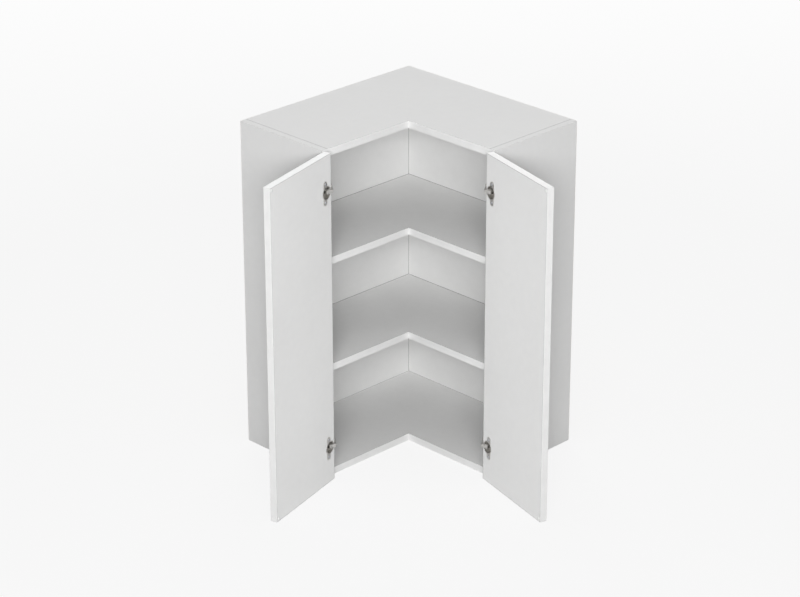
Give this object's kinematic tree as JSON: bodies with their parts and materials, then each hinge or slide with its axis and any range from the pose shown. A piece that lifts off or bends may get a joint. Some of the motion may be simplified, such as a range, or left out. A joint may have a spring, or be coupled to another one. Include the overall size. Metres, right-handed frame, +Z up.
{
  "type": "corner wall cabinet",
  "caption": "L-shaped inside-corner wall cabinet with open shelves and plain doors, each hung by wide-angle cup hinges on its own end panel.",
  "frame": {"origin": "the point where the two room walls meet, level with the underside of the cabinet", "axes": "+Z up; -X points into the wall behind the left wing, which runs along -Y; +Y points into the wall behind the right wing, which runs along +X"},
  "size_m": [0.8622, 0.8622, 0.9],
  "materials": {
    "grey_board": "satin light grey melamine on chipboard",
    "grey_back_board": "satin light grey lacquered fibreboard",
    "raw_board": "raw chipboard, out of sight",
    "white_board": "satin white melamine on chipboard",
    "white_edging": "satin white edge band",
    "grey_edging": "satin light grey edge band",
    "beech": "fluted beech dowel",
    "clear_silicone": "clear soft dot",
    "grey_plastic": "matt light grey",
    "white_plastic": "matt white",
    "nickel_steel": "nickel-plated steel",
    "cast_zinc": "die-cast zinc",
    "zinc_steel": "bright zinc-plated steel"
  },
  "bodies": {
    "cabinet": {"top_panel": "grey_board", "bottom_panel": "grey_board", "top_edging": "grey_edging", "bottom_edging": "grey_edging", "lower_shelf": "grey_board", "lower_shelf_edging": "grey_edging", "upper_shelf": "grey_board", "upper_shelf_edging": "grey_edging", "left_end_panel": "grey_board", "right_end_panel": "grey_board", "left_end_edging": "grey_edging", "right_end_edging": "grey_edging", "left_back_panel": "grey_back_board", "right_back_panel": "grey_back_board", "left_batten": "raw_board", "right_batten": "raw_board", "cam_housings": "cast_zinc", "cam_bolts": "zinc_steel", "cam_caps": "grey_plastic", "dowels": "beech", "shelf_pins": "zinc_steel", "left_hinge_arms": "nickel_steel", "right_hinge_arms": "nickel_steel", "arm_pins": "zinc_steel", "mounting_plates": "nickel_steel", "plate_screws": "zinc_steel", "arm_screws": "zinc_steel", "left_hanger": "white_plastic", "right_hanger": "white_plastic", "hanger_hooks": "zinc_steel", "hanger_screws": "zinc_steel", "hanger_covers": "grey_plastic", "left_wall_plate": "zinc_steel", "right_wall_plate": "zinc_steel"},
    "left_short_links": {"left_short_links": "nickel_steel", "left_knuckle_pins": "zinc_steel"},
    "left_long_links": {"left_long_links": "nickel_steel"},
    "left_door": {"left_door_panel": "white_board", "left_door_edging": "white_edging", "left_door_bumpers": "clear_silicone", "left_hinge_cups": "nickel_steel", "left_cup_pins": "zinc_steel", "left_cup_screws": "zinc_steel"},
    "right_short_links": {"right_short_links": "nickel_steel", "right_knuckle_pins": "zinc_steel"},
    "right_long_links": {"right_long_links": "nickel_steel"},
    "right_door": {"right_door_panel": "white_board", "right_door_edging": "white_edging", "right_door_bumpers": "clear_silicone", "right_hinge_cups": "nickel_steel", "right_cup_pins": "zinc_steel", "right_cup_screws": "zinc_steel"}
  },
  "joints": [
    {"name": "left_short_link_turn", "type": "hinge", "parent": "cabinet", "child": "left_short_links", "pos_m": [0.2896, -0.5726, 0.45], "axis": [0, 0, 1], "range_deg": [0, 112.2]},
    {"name": "left_knuckle_turn", "type": "hinge", "parent": "left_short_links", "child": "left_long_links", "pos_m": [0.30646, -0.57766, 0.45], "axis": [0, 0, -1], "range_deg": [0, 112.2]},
    {"name": "left_door_swing", "type": "hinge", "parent": "left_long_links", "child": "left_door", "pos_m": [0.32305, -0.60628, 0.45], "axis": [0, 0, 1], "range_deg": [0, 165]},
    {"name": "right_short_link_turn", "type": "hinge", "parent": "cabinet", "child": "right_short_links", "pos_m": [0.5726, -0.2896, 0.45], "axis": [0, 0, -1], "range_deg": [0, 112.2]},
    {"name": "right_knuckle_turn", "type": "hinge", "parent": "right_short_links", "child": "right_long_links", "pos_m": [0.57766, -0.30646, 0.45], "axis": [0, 0, 1], "range_deg": [0, 112.2]},
    {"name": "right_door_swing", "type": "hinge", "parent": "right_long_links", "child": "right_door", "pos_m": [0.60628, -0.32305, 0.45], "axis": [0, 0, -1], "range_deg": [0, 165]}
  ],
  "couplings": [
    {"joint": "left_short_link_turn", "follows": "left_door_swing", "ratio": 0.68},
    {"joint": "left_knuckle_turn", "follows": "left_door_swing", "ratio": 0.68},
    {"joint": "right_short_link_turn", "follows": "right_door_swing", "ratio": 0.68},
    {"joint": "right_knuckle_turn", "follows": "right_door_swing", "ratio": 0.68}
  ]
}
